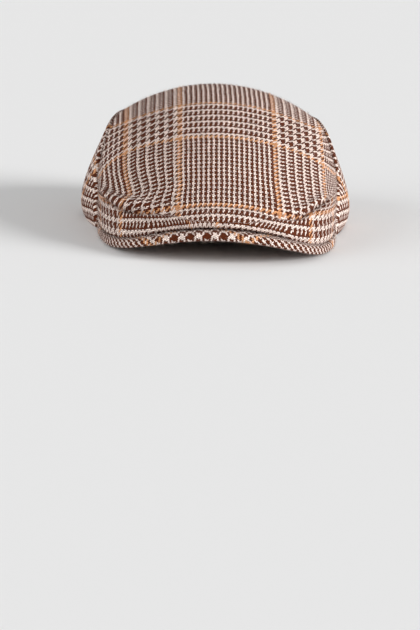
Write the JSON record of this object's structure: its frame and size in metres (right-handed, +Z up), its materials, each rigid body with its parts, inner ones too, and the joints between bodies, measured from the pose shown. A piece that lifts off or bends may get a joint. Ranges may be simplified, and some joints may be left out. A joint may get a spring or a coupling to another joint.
{
  "type": "flat cap",
  "caption": "Soft flat cap of checked wool tweed, one top panel pulled forward over a stiff curved peak, two side panels; worn on the head for warmth and shade.",
  "frame": {"origin": "under the centre of the head opening, on the surface the cap rests on", "axes": "-Y is where the peak points and +Y the back of the head, +X the viewer's right from the front, +Z up"},
  "size_m": [0.1796, 0.2594, 0.0915],
  "materials": {
    "checked_tweed": "matt wool tweed in a brown and cream glen check with orange lines",
    "bias_cut_tweed": "the same tweed cut across the weave over a stiff board"
  },
  "bodies": {
    "root": {"top_panel": "checked_tweed", "side_panel_left": "checked_tweed", "side_panel_right": "checked_tweed", "peak": "bias_cut_tweed"}
  },
  "joints": []
}
